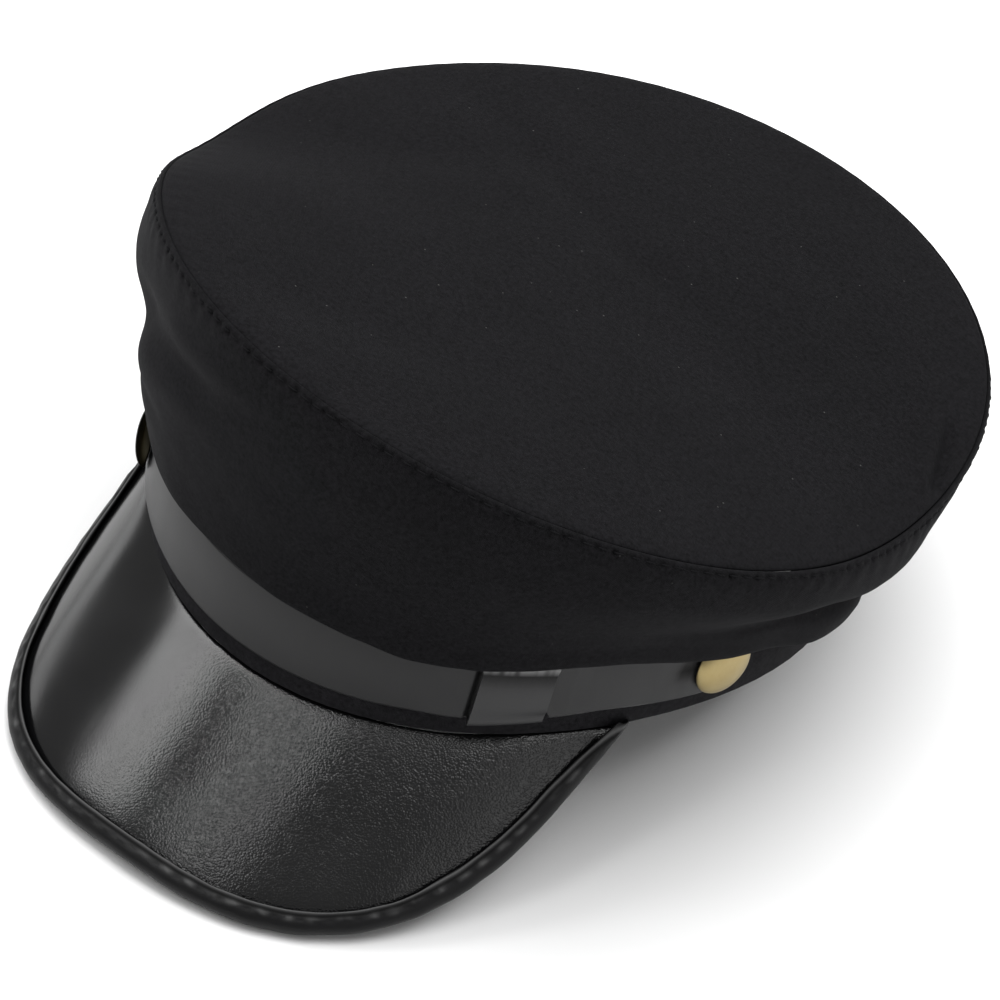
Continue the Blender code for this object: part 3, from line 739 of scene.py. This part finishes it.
divide_near_seam(side, FINE_STRIP)
points = points_of(side)
normals = normals_of(side)
outward = outward_of(points, normals)
numbers, distance = nearest_on(seam_tree, points)
stitch_count = round(seam_length / STITCH_PITCH)
pitch = seam_length / stitch_count
beside = (seam_places[numbers] / pitch + 0.5) % 1 - 0.5
outer = ((normals * outward).sum(1) > 0) & (normals[:, 2] > -0.6) & (distance < 0.02)
pulls = np.random.default_rng(7).uniform(0.35, 1.0, stitch_count + 2)
pull = pulls[np.floor(seam_places[numbers] / pitch + 0.5).astype(int)]
from_hollow = np.hypot(beside * pitch, (distance - STITCH_DOWN) * 0.9)
hollow = bell(from_hollow, HOLLOW_RADIUS) * outer * pull
push = hollow * STITCH_HOLLOW + bell(distance - STITCH_DOWN, 0.0009) * outer * LINE_DIP
push -= bell(distance - RIM_DOWN, 0.0011) * RIM_RISE * outer
puckers = np.sin(seam_places[numbers] / pitch * math.pi + soft_noise(points, 0.012, 9) * 3.0)
push += puckers * SIDE_PUCKER * bell(distance - 0.0050, 0.0035) * outer
print(stitch_count, "stitches,", round(pitch * 1000, 2), "mm apart")

# %% [markdown]
# The soft folds of the side are creases on the unrolled cloth. Their ends are a direction round the cap in
# degrees, and a height.

# %% Side folds
SKIRT_RADIUS = 0.096
UV_RADIUS = 0.100
CALM_EDGE = 0.012
SIDE_WAVE = 0.00030
SIDE_RIPPLE = 0.00010
SIDE_CREASES = (
    Crease((-42, 0.098), (-12, 0.109), 0.0060, 0.0019),
    Crease((-24, 0.111), (0, 0.120), 0.0042, -0.0008),
    Crease((-47, 0.076), (-26, 0.082), 0.0036, 0.0007),
    Crease((-6, 0.100), (26, 0.092), 0.0090, 0.0005),
    Crease((118, 0.070), (150, 0.052), 0.0060, 0.0009),
    Crease((-150, 0.056), (-110, 0.070), 0.0060, 0.0009),
    Crease((-100, 0.080), (-76, 0.098), 0.0050, 0.0008),
)


def unrolled(end):
    """A crease's end in metres: round from the front, and height."""
    return math.radians(end[0]) * SKIRT_RADIUS, end[1]


flat_creases = [crease._replace(start=unrolled(crease.start), end=unrolled(crease.end))
                for crease in SIDE_CREASES]
flat_points = np.column_stack((turn_of(points) * SKIRT_RADIUS, points[:, 2]))
push += soft_noise(points, 0.016, 12) * SIDE_WAVE * np.clip(distance / 0.02, 0, 1)
push += soft_noise(points, 0.006, 14) * SIDE_RIPPLE * np.clip(distance / 0.01, 0, 1)
push += crease_push(flat_points, flat_creases) * np.clip(distance / CALM_EDGE, 0, 1)
points -= outward * push[:, None]
move_points(side, points)
lay_uv(side, turn_of(points) * UV_RADIUS, points[:, 2])
# Painted shade, darkest along the seam line and in the stitch hollows.
lay_values(side, "stitch_hollow_painted_shade", np.maximum(hollow, 0.85 * bell(distance, 0.0007)))
finish_piece(side, "crown_side", side_cloth)

# %% [markdown]
# The stitches themselves are short black threads that lie on the cloth between two hollows. One is a small
# bent tube, modelled once. It is copied along the seam, turned to the seam's run and to the cloth's slope.

# %% Topstitching
THREAD_RADIUS = 0.00019
THREAD_SHARE = 0.74
STITCH_SIDES = 6
STITCH_RINGS = 6
THREAD_TAPER = 0.35
THREAD_DROP = 2.6


def stitch_template(length, radius):
    """A thread along X whose ends bend down into the cloth, from a cylinder shaped in edit mode."""
    bpy.ops.object.select_all(action='DESELECT')
    bpy.ops.mesh.primitive_cylinder_add(vertices=STITCH_SIDES, radius=radius, depth=length,
                                        rotation=(0, math.radians(90), 0))
    thread = bpy.context.object
    bpy.ops.object.transform_apply(location=True, rotation=True, scale=True)
    bpy.ops.object.mode_set(mode='EDIT')
    for ring in range(1, STITCH_RINGS):
        bpy.ops.mesh.select_all(action='SELECT')
        bpy.ops.mesh.bisect(plane_co=(length * (ring / STITCH_RINGS - 0.5), 0, 0), plane_no=(1, 0, 0))
    bpy.ops.mesh.select_all(action='DESELECT')
    bpy.ops.object.mode_set(mode='OBJECT')
    for vertex in thread.data.vertices:
        share = abs(vertex.co.x) / (length / 2)
        thickness = 1 - THREAD_TAPER * share ** 4
        vertex.co.y *= thickness
        vertex.co.z = vertex.co.z * thickness - radius * THREAD_DROP * share ** 3
    return thread


def seam_stitches():
    """A place and a direction for each stitch, half a pitch from the hollows beside it."""
    strip = np.where(outer & (np.abs(distance - STITCH_DOWN) < 0.0008))[0]
    middle = np.abs((seam_places[numbers[strip]] / pitch) % 1 - 0.5) * pitch
    miss = middle + np.abs(distance[strip] - STITCH_DOWN)
    best = {}
    for number, step, error in zip(strip, (seam_places[numbers[strip]] / pitch).astype(int), miss):
        if step not in best or error < best[step][0]:
            best[step] = (error, number)
    wanted = []
    for step in sorted(best):
        number = best[step][1]
        here = numbers[number]
        ahead = seam_line[(here + 6) % len(seam_line)] - seam_line[here - 6]
        centre = seam_line[int((step + 0.5) * pitch / SEAM_STEP) % len(seam_line)]
        down = (Vector(points[number]) - seam_line[here]).normalized()
        wanted.append((centre + down * STITCH_DOWN, ahead.normalized()))
    return wanted


def on_surface(piece, wanted):
    """Wanted places and directions, moved to the piece's nearest surface, with its outward way there."""
    spots = []
    for place, along in wanted:
        found, spot, normal, _ = piece.closest_point_on_mesh(place)
        if found:
            spots.append((spot, along, normal))
    return spots


def copy_along(template, name, spots):
    """One piece made of copies of the template, each at a spot with its own along and up directions."""
    work = bmesh.new()
    for place, along, up in spots:
        side_way = up.cross(along).normalized()
        up_way = along.cross(side_way).normalized()
        turn = Matrix((along.normalized(), side_way, up_way)).transposed().to_4x4()
        before = len(work.verts)
        work.from_mesh(template.data)
        work.verts.ensure_lookup_table()
        bmesh.ops.transform(work, matrix=Matrix.Translation(place) @ turn, verts=work.verts[before:])
    mesh = bpy.data.meshes.new(name)
    work.to_mesh(mesh)
    work.free()
    piece = bpy.data.objects.new(name, mesh)
    bpy.context.scene.collection.objects.link(piece)
    bpy.data.objects.remove(template)
    return piece


thread_template = stitch_template(STITCH_PITCH * THREAD_SHARE, THREAD_RADIUS)
threads = copy_along(thread_template, "top_seam_stitches",
                     [(spot + up * THREAD_RADIUS * 0.2, along, up)
                      for spot, along, up in on_surface(side, seam_stitches())])
finish_piece(threads, None, thread_black, smooth_angle=60)

# %% [markdown]
# The head band is a plain cloth band. It shows as a narrow strip under the strap and more at the back. It
# is divided so that it can wave a little, except at its lower edge, which stays level.

# %% Head band
BAND_WAVE = 0.00016
BAND_RIPPLE = 0.00006
BAND_LEVEL_EDGE = 0.0008

band = copy_node("head_band", "head_band_cloth")
choose(band)
bpy.ops.object.mode_set(mode='EDIT')
bpy.ops.mesh.select_all(action='SELECT')
bpy.ops.mesh.subdivide(number_cuts=3)
bpy.ops.mesh.select_all(action='DESELECT')
bpy.ops.object.mode_set(mode='OBJECT')
points = points_of(band)
normals = normals_of(band)
wave = soft_noise(points, 0.020, 21) * BAND_WAVE + soft_noise(points, 0.006, 22) * BAND_RIPPLE
wave *= (points[:, 2] > BAND_LEVEL_EDGE)
move_points(band, points - normals * np.abs(wave)[:, None])
lay_uv(band, turn_of(points) * 0.090, points[:, 2])
finish_piece(band, "head_band", band_cloth)

# %% [markdown]
# The peak is a bent sheet of glossy leather cloth. Its front-to-back lines are nearly straight, so light
# runs along it in streaks. Faint ripples across those lines break the streaks up as in the photograph, and
# the grain shows more on the wearer's left.

# %% Peak
BROAD_RIPPLE = 0.00016
BROAD_RIPPLE_LENGTH = 0.0105
CLOSE_RIPPLE = 0.00010
CLOSE_RIPPLE_LENGTH = 0.0046
PEAK_UNEVEN = 0.00012
GRAIN_STARTS = -0.030
GRAIN_FULL_AFTER = 0.05
LEAST_GRAIN = 0.12

peak = copy_node("peak", "peak_leather_sheet")
subdivide_smooth(peak, 3)
points = points_of(peak)
normals = normals_of(peak)
ripple = BROAD_RIPPLE * np.sin(points[:, 0] / BROAD_RIPPLE_LENGTH + 0.6)
ripple += CLOSE_RIPPLE * np.sin(points[:, 0] / CLOSE_RIPPLE_LENGTH + 2.0)
ripple += soft_noise(points * np.array((1.0, 0.35, 0.35)), 0.012, 31) * PEAK_UNEVEN
move_points(peak, points + normals * ripple[:, None])
lay_values(peak, "strength", np.clip((points[:, 0] - GRAIN_STARTS) / GRAIN_FULL_AFTER, LEAST_GRAIN, 1.0))
finish_piece(peak, "peak", peak_leather)

# %% [markdown]
# The peak's edge is bound with a folded strip of the same leather cloth. On the wearer's left its end is
# carried on to the head band. Its marks are measured from its hidden inner edge: the strip comes into
# sight about 4.5 mm from there.

# %% Peak binding
BINDING_MIDDLE = (0.0, -0.060)
END_REACH = 0.018
END_MOVE = (0.0020, 0.0062, 0.0056)


def stretch_end(piece):
    """Carry the binding's end on the wearer's left on until it meets the head band."""
    points = points_of(piece)
    last = points[points[:, 0] > 0.06, 1].max()
    share = np.clip((points[:, 1] - last + END_REACH) / END_REACH, 0, 1) * (points[:, 0] > 0.05)
    move_points(piece, points + share[:, None] ** 2 * np.array(END_MOVE))


def inner_edge(points, upward):
    """The binding's inner edge: in each direction, the upper point nearest the middle."""
    across = points[:, 0] - BINDING_MIDDLE[0]
    back = points[:, 1] - BINDING_MIDDLE[1]
    turn = np.degrees(np.arctan2(across, -back))
    reach = np.hypot(across, back)
    line = []
    for angle in np.arange(turn.min(), turn.max(), 1.2):
        near = np.where(upward & (np.abs(turn - angle) < 0.9))[0]
        if len(near):
            line.append(points[near[np.argmin(reach[near])]])
    line = np.array(line)
    for _ in range(3):
        line[1:-1] = (line[:-2] + 2 * line[1:-1] + line[2:]) / 4
    return [Vector(point) for point in line]


binding = copy_node("peak_binding", "peak_binding_roll")
subdivide_smooth(binding, 3)
stretch_end(binding)
points = points_of(binding)
normals = normals_of(binding)
upper = normals[:, 2] > 0.15
edge_line = even_line(inner_edge(points, upper), SEAM_STEP)
edge_places, _ = along_line(edge_line)
numbers, distance = nearest_on(tree_of(edge_line), points)
print("binding edge", round(edge_places[-1] * 1000), "mm,", len(edge_line), "points")

# %% [markdown]
# Where the strip comes into sight, a thin ridge rises with a groove outside it; the ridge gets a painted
# highlight, the groove painted shade, and the small puckers of the roll beyond painted highlights in
# patches.

# %% The binding's marks
EDGE_PITCH = 0.0058
RIDGE_IN = 0.00460
RIDGE_HEIGHT = 0.00012
GROOVE_IN = 0.00494
GROOVE_SINK = 0.00014
LINE_SPREAD = 0.00015
ROLL_IN = 0.00528
ROLL_SPREAD = 0.00022
PUCKER_HEIGHT = 0.00030
LUMP_HEIGHT = 0.00020
RIDGE_PAINTED_HIGHLIGHT = 0.5
ROLL_PAINTED_HIGHLIGHT = 0.42

phase = edge_places[numbers] / EDGE_PITCH * math.tau
puckered = 0.5 + 0.5 * np.sin(phase + soft_noise(points, 0.01, 41) * 1.6)
lump = soft_noise(points, 0.005, 42)
patches = np.clip(0.35 + 1.4 * lump + soft_noise(points, 0.0016, 43), 0, 1)
ridge = bell(distance - RIDGE_IN, LINE_SPREAD) * upper
groove = bell(distance - GROOVE_IN, LINE_SPREAD) * upper
rolled = bell(distance - ROLL_IN, ROLL_SPREAD) * upper
lift = ridge * RIDGE_HEIGHT - groove * GROOVE_SINK
lift += (puckered - 0.5) * rolled * PUCKER_HEIGHT + lump * LUMP_HEIGHT
move_points(binding, points + normals * lift[:, None])
# Painted highlights on the ridge and the puckers of the roll, and painted shade in the groove.
glint = ridge * RIDGE_PAINTED_HIGHLIGHT + rolled * puckered ** 1.5 * patches * ROLL_PAINTED_HIGHLIGHT
lay_values(binding, "pale_edge_and_highlight", np.clip(glint, 0, 1))
lay_values(binding, "shade", groove)
finish_piece(binding, "peak_binding", edge_leather)

# %% [markdown]
# The strap and its keeper loop keep their frame shapes, with softened edges and a few changes, and are
# divided only where they need finer faces. The loop comes first, because the strap is drawn up inside it.

# %% Keeper loop
LOOP_BEVEL = 0.00028
LOOP_RAISE = (0.0011, 0.0031)
LOOP_RAISE_FROM = 0.0475
LOOP_FLOOR = 0.0422
LOOP_FLOOR_RAISE = 0.0011
CUT_EDGE_HEIGHT = 0.0589
CUT_EDGE_LIFT = 0.00028


def divide_between(piece, first, last, cuts):
    """Divide the faces whose middles lie between two directions round the cap, in degrees."""
    choose(piece)
    bpy.ops.object.mode_set(mode='EDIT')
    bpy.ops.mesh.select_mode(type='FACE')
    bpy.ops.mesh.select_all(action='DESELECT')
    bpy.ops.object.mode_set(mode='OBJECT')
    for face in piece.data.polygons:
        face.select = first < math.degrees(math.atan2(face.center.x, -face.center.y)) < last
    bpy.ops.object.mode_set(mode='EDIT')
    bpy.ops.mesh.subdivide(number_cuts=cuts)
    bpy.ops.mesh.select_all(action='DESELECT')
    bpy.ops.object.mode_set(mode='OBJECT')


def loop_raise(turn):
    """How far the loop's lower end, and the strap inside it, are drawn up."""
    return np.interp(turn, (loop_first, loop_last), LOOP_RAISE)


def shape_loop(piece):
    """A thinner lower end, and the rough cut edge just under the cloth's lip."""
    points = points_of(piece)
    normals = normals_of(piece)
    points[:, 2] += LOOP_FLOOR_RAISE * np.clip((LOOP_FLOOR - points[:, 2]) / 0.0012, 0, 1)
    turn = np.degrees(turn_of(points))
    points[:, 2] += loop_raise(turn) * np.clip((LOOP_RAISE_FROM - points[:, 2]) / 0.0035, 0, 1)
    faces_out = (normals * outward_of(points, normals)).sum(1) > 0.5
    rough = soft_noise(points, 0.0012, 53)
    over = points[:, 2] - CUT_EDGE_HEIGHT - rough * 0.00025
    cut = bell(over, 0.00040) * faces_out
    above_cut = np.clip((over - 0.0006) / 0.0006, 0, 1) * faces_out
    lift = cut * CUT_EDGE_LIFT - above_cut * 0.00025
    move_points(piece, points + normals * lift[:, None])
    # A pale grey on the rough cut edge, and painted shade on the face below it, under the cloth's lip.
    lay_values(piece, "pale_edge_and_highlight", np.clip(cut * (0.85 + rough), 0, 1))
    lay_values(piece, "shade", bell(np.minimum(over + 0.0011, 0), 0.0030) * (over < -0.0007) * faces_out)


loop = copy_node("strap_loop", "strap_keeper_loop")
divide_between(loop, 0, 90, 11)
round_edges(loop, LOOP_BEVEL, 2)
loop_turns = np.degrees(turn_of(points_of(loop)))
loop_first, loop_last = loop_turns.min(), loop_turns.max()
print("loop from", round(loop_first, 1), "to", round(loop_last, 1), "degrees")

# %% [markdown]
# The strap's lower edge hangs a little deeper at the front than in its frame node. A groove runs beside
# the loop, darkened with painted shade, and a painted shadow darkens the leather round the button on the
# wearer's left.

# %% Strap
STRAP_BEVEL = 0.00030
STRAP_DROP = 0.0015
DROP_REACH = 0.012
GROOVE_TURN = 31.6
GROOVE_FROM_HEIGHT = 0.041
GROOVE_LEAN = 62.0
GROOVE_WIDTH = 0.40
GROOVE_DEPTH = 0.0010
BUTTON_SHADE = (0.0797, -0.0352, 0.0500)


def shape_strap(piece):
    """A deeper lower edge at the front, and a groove in the face beside the loop."""
    points = points_of(piece)
    normals = normals_of(piece)
    turn = np.degrees(turn_of(points))
    angles = np.arange(-60, 91, 3)
    lowest = [points[np.abs(turn - angle) < 2.6, 2].min(initial=1) for angle in angles]
    above = points[:, 2] - np.interp(turn, angles, lowest)
    lower = np.clip(1 - above / DROP_REACH, 0, 1)
    points[:, 2] -= STRAP_DROP * lower * np.interp(turn, (-62, -45, 18, 44), (0.4, 1, 1, 0))
    held = np.clip((turn - loop_first - 0.5) / 0.8, 0, 1) * np.clip((loop_last - 0.5 - turn) / 0.8, 0, 1)
    points[:, 2] += loop_raise(turn) * held * np.clip(1 - above / 0.006, 0, 1)
    faces_out = (normals * outward_of(points, normals)).sum(1) > 0.5
    lean = (points[:, 2] - GROOVE_FROM_HEIGHT) * GROOVE_LEAN
    groove = bell(turn - GROOVE_TURN - lean, GROOVE_WIDTH) * faces_out
    points -= normals * (groove * GROOVE_DEPTH)[:, None]
    move_points(piece, points)
    # A lighter lower edge, painted shade in the groove, and a painted shadow round the button.
    lighter_lower_edge = bell(above - 0.0003, 0.0004) * np.interp(turn, (40, 46, 74), (0.1, 0.4, 0.3)) * faces_out
    button = bell(np.linalg.norm(points - np.array(BUTTON_SHADE), axis=1), 0.0026)
    lay_values(piece, "pale_edge_and_highlight", lighter_lower_edge * (0.7 + 0.6 * soft_noise(points, 0.003, 51)))
    lay_values(piece, "shade", np.clip(1.3 * (groove + button), 0, 1))


strap = copy_node("strap", "strap_leather_strip")
round_edges(strap, STRAP_BEVEL, 2)
divide_between(strap, 27.5, 36.0, 9)
divide_between(strap, 40.0, 49.0, 7)
divide_between(strap, 60.0, 72.0, 3)
shape_strap(strap)
finish_piece(strap, "strap", strap_leather)
shape_loop(loop)
finish_piece(loop, "strap_loop", loop_leather)

# %% [markdown]
# The two buttons are small domes. The one on the wearer's left is bright; the other one is dark, its brass
# darkened with painted shade and its shine dimmed.

# %% Buttons
for side_name, metal in (("left", brass), ("right", painted_shade_brass)):
    button = copy_node("button_" + side_name, "brass_button_" + side_name)
    subdivide_smooth(button, 2)
    finish_piece(button, "button_" + side_name, metal)

# %% [markdown]
# The floor is plain and pale and the light is soft, as in a photographer's white room.

# %% Floor and room
FLOOR_HALF = 3.0
ROOM_BRIGHTNESS = 0.32


def build_floor():
    bpy.ops.object.select_all(action='DESELECT')
    bpy.ops.mesh.primitive_plane_add(size=FLOOR_HALF * 2, location=(0, 0, 0))
    floor = bpy.context.object
    floor.name = "floor"
    material, _, shader = start_material("pale_floor")
    shader.inputs["Base Color"].default_value = (0.93, 0.93, 0.93, 1.0)
    shader.inputs["Roughness"].default_value = 0.9
    shader.inputs["Specular IOR Level"].default_value = 0.1
    floor.data.materials.append(material)


build_floor()
room = bpy.data.worlds.new("white_room")
room.use_nodes = True
background = room.node_tree.nodes["Background"]
background.inputs["Color"].default_value = (1.0, 1.0, 1.0, 1.0)
background.inputs["Strength"].default_value = ROOM_BRIGHTNESS
bpy.context.scene.world = room
print("floor", FLOOR_HALF * 2, "m wide")

# %% [markdown]
# One wide lamp hangs overhead and behind. A glossy peak shows its lamps: two strips on the wearer's right
# draw the streaks along it, and two dim cards stand at the sides. A lamp's direction from the peak is in
# degrees round from the front, and above the floor.

# %% Lamps
PEAK_MIDDLE = Vector((0.0, -0.11, 0.022))


def seen_from_peak(around, above):
    """A lamp's place, one metre from the peak in a direction, and what it faces."""
    around, above = math.radians(around), math.radians(above)
    way = Vector((math.sin(around) * math.cos(above), -math.cos(around) * math.cos(above), math.sin(above)))
    return PEAK_MIDDLE + way, PEAK_MIDDLE


def add_lamp(name, spot, target, roll, size, brightness):
    """An area lamp of even brightness, whatever its size, whose long side is turned by the roll."""
    data = bpy.data.lights.new(name, 'AREA')
    data.shape = 'RECTANGLE'
    data.size, data.size_y = size
    data.energy = brightness * math.pi * size[0] * size[1]
    lamp = bpy.data.objects.new(name, data)
    facing = (Vector(target) - Vector(spot)).to_track_quat('-Z', 'Y').to_matrix()
    turned = facing @ Matrix.Rotation(math.radians(roll), 3, 'Z')
    lamp.matrix_world = Matrix.Translation(spot) @ turned.to_4x4()
    bpy.context.scene.collection.objects.link(lamp)


add_lamp("overhead_lamp", (-0.05, 0.55, 1.6), (-0.05, 0.55, 0), roll=0, size=(2.4, 2.0), brightness=3.5)
add_lamp("left_strip", *seen_from_peak(-66, 43.5), roll=-33, size=(0.62, 0.22), brightness=5.2)
add_lamp("front_strip", *seen_from_peak(-22, 56.0), roll=-52, size=(0.62, 0.12), brightness=7.0)
add_lamp("low_card", *seen_from_peak(-94, 5), roll=0, size=(0.5, 0.14), brightness=1.8)
add_lamp("right_card", *seen_from_peak(84, 28), roll=0, size=(0.5, 0.36), brightness=1.0)
bpy.context.scene.view_settings.view_transform = 'Standard'

# %% [markdown]
# The three cloth pieces are sheets, cut flat before they were sewn. The disc is an oval, the side panel a
# ring of pieces as long as the seam, and the head band a straight strip.

# %% Cloth sheets
print("sheets", top.name, side.name, band.name)
